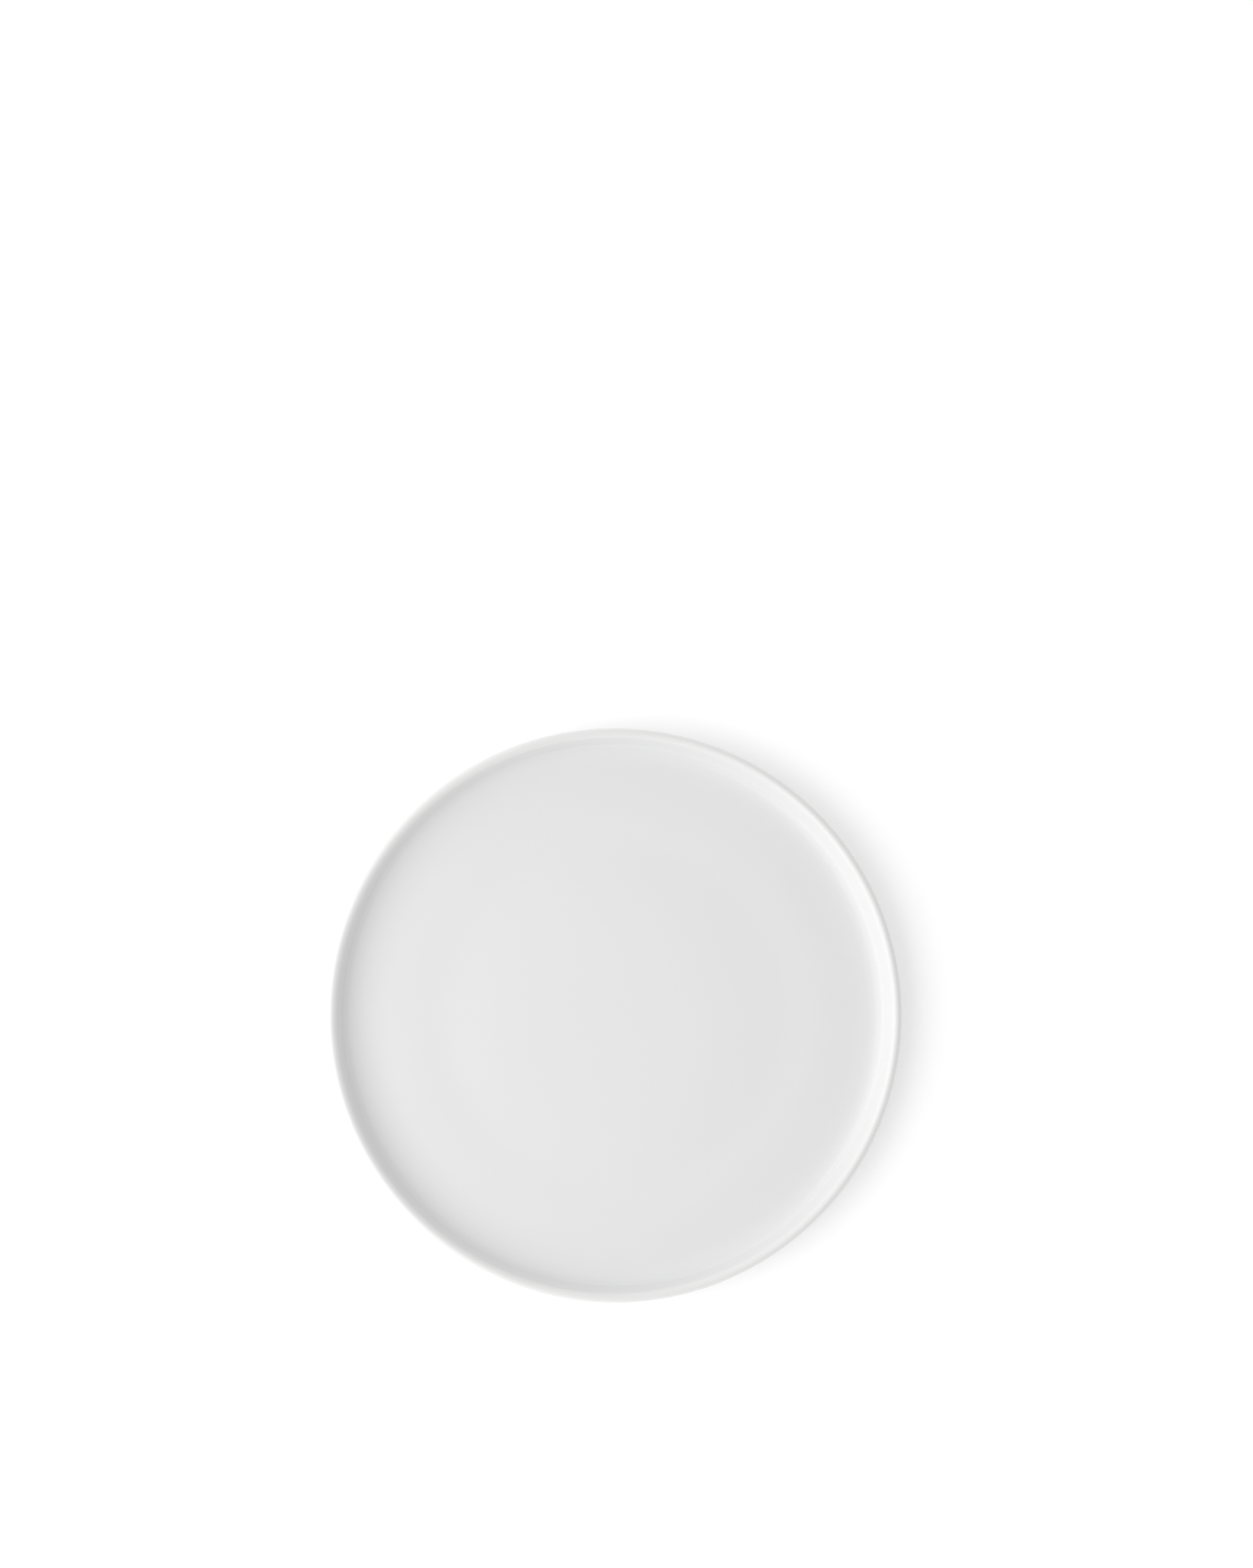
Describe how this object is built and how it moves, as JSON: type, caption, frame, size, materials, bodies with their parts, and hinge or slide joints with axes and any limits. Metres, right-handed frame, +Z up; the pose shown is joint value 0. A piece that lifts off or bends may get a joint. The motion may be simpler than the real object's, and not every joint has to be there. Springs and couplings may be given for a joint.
{
  "type": "coupe plate",
  "caption": "Round white glazed porcelain plate with a nearly flat well, a short steep wall, a full-round lip and a foot ring underneath.",
  "frame": {"origin": "centre of the plane that the foot ring stands on", "axes": "+Z up along the plate's axis of symmetry; +X and +Y are any two square radii, because the plate is round"},
  "size_m": [0.2, 0.2, 0.013],
  "materials": {
    "glaze": "smooth white gloss glaze all over, left off the foot ring's contact band"
  },
  "bodies": {
    "root": {"plate": "glaze"}
  },
  "joints": []
}
